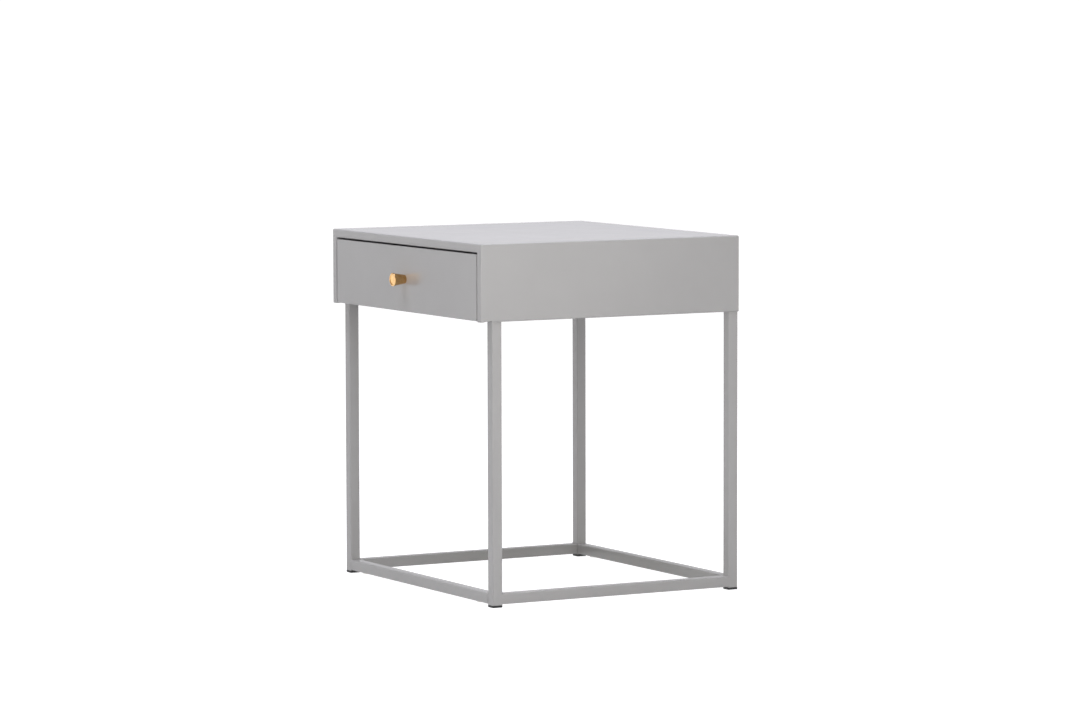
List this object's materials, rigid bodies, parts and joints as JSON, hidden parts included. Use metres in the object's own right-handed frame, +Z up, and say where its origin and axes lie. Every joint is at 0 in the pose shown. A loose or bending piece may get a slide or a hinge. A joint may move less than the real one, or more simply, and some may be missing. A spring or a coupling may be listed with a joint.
{
  "type": "side table",
  "caption": "Low sheet-steel case with an inset drawer on telescopic slides, on a square-tube frame with a foot rail.",
  "frame": {"origin": "on the floor, under the middle of the whole table's outline, its knob included", "axes": "+Z up, -Y the way the drawer opens, +X to the right of someone facing the drawer's back from the front"},
  "size_m": [0.45, 0.4322, 0.5],
  "materials": {
    "powder_coat": "satin, fine-textured light grey powder coat",
    "brass": "turned brass, lightly brushed",
    "foot_plastic": "moulded black polyethylene",
    "zinc_steel": "bright zinc plate",
    "nickel_steel": "nickel plate",
    "ball_steel": "polished bearing steel"
  },
  "bodies": {
    "case": {"case_shell": "powder_coat", "back_panel": "powder_coat", "bottom_panel": "powder_coat", "back_rivets": "zinc_steel", "slide_bracket_left": "zinc_steel", "slide_bracket_right": "zinc_steel", "leg_front_left": "powder_coat", "leg_front_right": "powder_coat", "leg_back_left": "powder_coat", "leg_back_right": "powder_coat", "side_rail_left": "powder_coat", "side_rail_right": "powder_coat", "cross_rail_front": "powder_coat", "cross_rail_back": "powder_coat", "rail_stubs": "zinc_steel", "rail_screws": "nickel_steel", "leg_nut_plugs": "zinc_steel", "leg_bolts": "zinc_steel", "leg_washers": "zinc_steel", "foot_front_left": "foot_plastic", "foot_front_right": "foot_plastic", "foot_back_left": "foot_plastic", "foot_back_right": "foot_plastic", "slide_outer_left": "zinc_steel", "slide_outer_right": "zinc_steel", "slide_case_screws": "zinc_steel"},
    "drawer": {"slide_inner_left": "zinc_steel", "slide_inner_right": "zinc_steel", "slide_drawer_screws": "zinc_steel", "drawer_front": "powder_coat", "drawer_front_wall": "powder_coat", "drawer_back_wall": "powder_coat", "drawer_side_left": "powder_coat", "drawer_side_right": "powder_coat", "drawer_bottom": "powder_coat", "drawer_rivets": "zinc_steel", "drawer_front_screws": "zinc_steel", "knob": "brass", "knob_screw": "zinc_steel"},
    "middle_left": {"slide_middle_left": "zinc_steel"},
    "cage_outer_left": {"cage_outer_left": "zinc_steel", "balls_outer_left": "ball_steel"},
    "cage_inner_left": {"cage_inner_left": "zinc_steel", "balls_inner_left": "ball_steel"},
    "middle_right": {"slide_middle_right": "zinc_steel"},
    "cage_outer_right": {"cage_outer_right": "zinc_steel", "balls_outer_right": "ball_steel"},
    "cage_inner_right": {"cage_inner_right": "zinc_steel", "balls_inner_right": "ball_steel"}
  },
  "joints": [
    {"name": "drawer_slide", "type": "slide", "parent": "case", "child": "drawer", "axis": [0, -1, 0], "range_m": [0, 0.35]},
    {"name": "middle_left_slide", "type": "slide", "parent": "case", "child": "middle_left", "axis": [0, -1, 0], "range_m": [0, 0.175]},
    {"name": "cage_outer_left_slide", "type": "slide", "parent": "case", "child": "cage_outer_left", "axis": [0, -1, 0], "range_m": [0, 0.0875]},
    {"name": "cage_inner_left_slide", "type": "slide", "parent": "case", "child": "cage_inner_left", "axis": [0, -1, 0], "range_m": [0, 0.2625]},
    {"name": "middle_right_slide", "type": "slide", "parent": "case", "child": "middle_right", "axis": [0, -1, 0], "range_m": [0, 0.175]},
    {"name": "cage_outer_right_slide", "type": "slide", "parent": "case", "child": "cage_outer_right", "axis": [0, -1, 0], "range_m": [0, 0.0875]},
    {"name": "cage_inner_right_slide", "type": "slide", "parent": "case", "child": "cage_inner_right", "axis": [0, -1, 0], "range_m": [0, 0.2625]}
  ],
  "couplings": [
    {"joint": "middle_left_slide", "follows": "drawer_slide", "ratio": 0.5},
    {"joint": "cage_outer_left_slide", "follows": "drawer_slide", "ratio": 0.25},
    {"joint": "cage_inner_left_slide", "follows": "drawer_slide", "ratio": 0.75},
    {"joint": "middle_right_slide", "follows": "drawer_slide", "ratio": 0.5},
    {"joint": "cage_outer_right_slide", "follows": "drawer_slide", "ratio": 0.25},
    {"joint": "cage_inner_right_slide", "follows": "drawer_slide", "ratio": 0.75}
  ]
}
